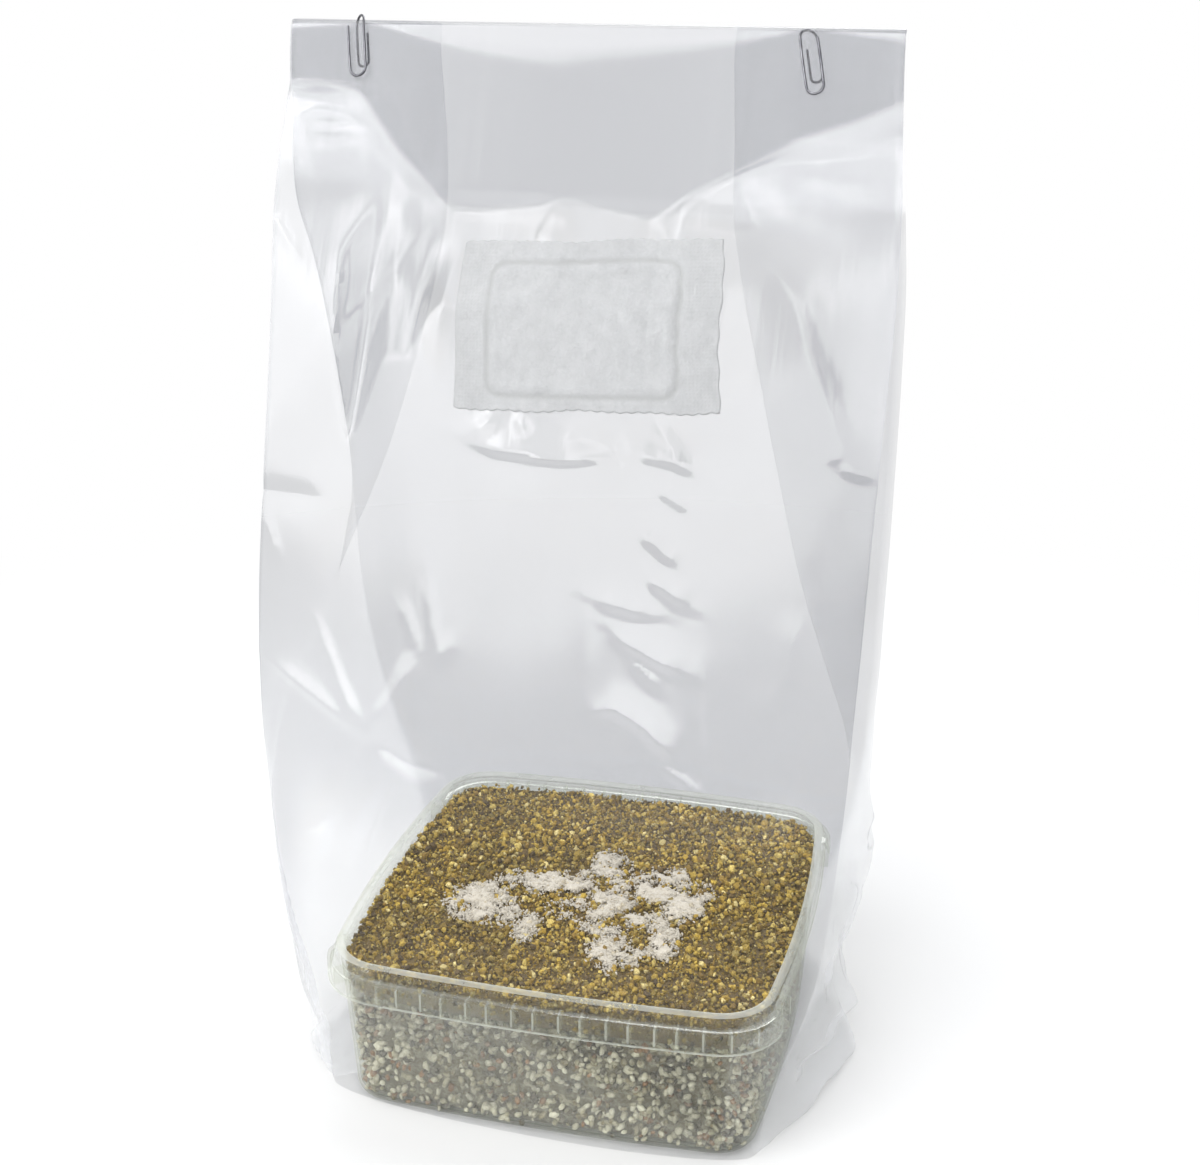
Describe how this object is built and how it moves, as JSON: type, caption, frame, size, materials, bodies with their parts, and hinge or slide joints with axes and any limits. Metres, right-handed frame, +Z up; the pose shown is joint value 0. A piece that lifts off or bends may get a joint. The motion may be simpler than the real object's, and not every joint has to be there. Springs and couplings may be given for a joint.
{
  "type": "oyster mushroom grow bag",
  "caption": "Clear gusseted bag with a filter patch, folded over and clipped at the top, over a translucent tub of grown grain under a vermiculite casing.",
  "frame": {"origin": "on the surface the bag stands on, under the middle of the bag's width and depth", "axes": "+Z up the bag, -Y out of the panel that carries the filter patch, +X to that panel's right as it is looked at"},
  "size_m": [0.2382, 0.1918, 0.4024],
  "materials": {
    "film": "clear, softly wrinkled polypropylene film",
    "nonwoven": "white non-woven filter, heat-welded round its edge",
    "steel_wire": "bright plated steel wire",
    "tub_plastic": "translucent moulded polypropylene",
    "grain": "damp grain bound by white mycelium",
    "vermiculite": "damp golden-brown granules",
    "mycelium": "soft matt white growth"
  },
  "bodies": {
    "root": {"grow_bag": "film", "filter_patch": "nonwoven", "paper_clip_left": "steel_wire", "paper_clip_right": "steel_wire", "tub": "tub_plastic", "grain_substrate": "grain", "vermiculite_casing": "vermiculite", "mycelium_patch_left": "mycelium", "mycelium_patch_centre": "mycelium", "mycelium_patch_front": "mycelium"}
  },
  "joints": []
}
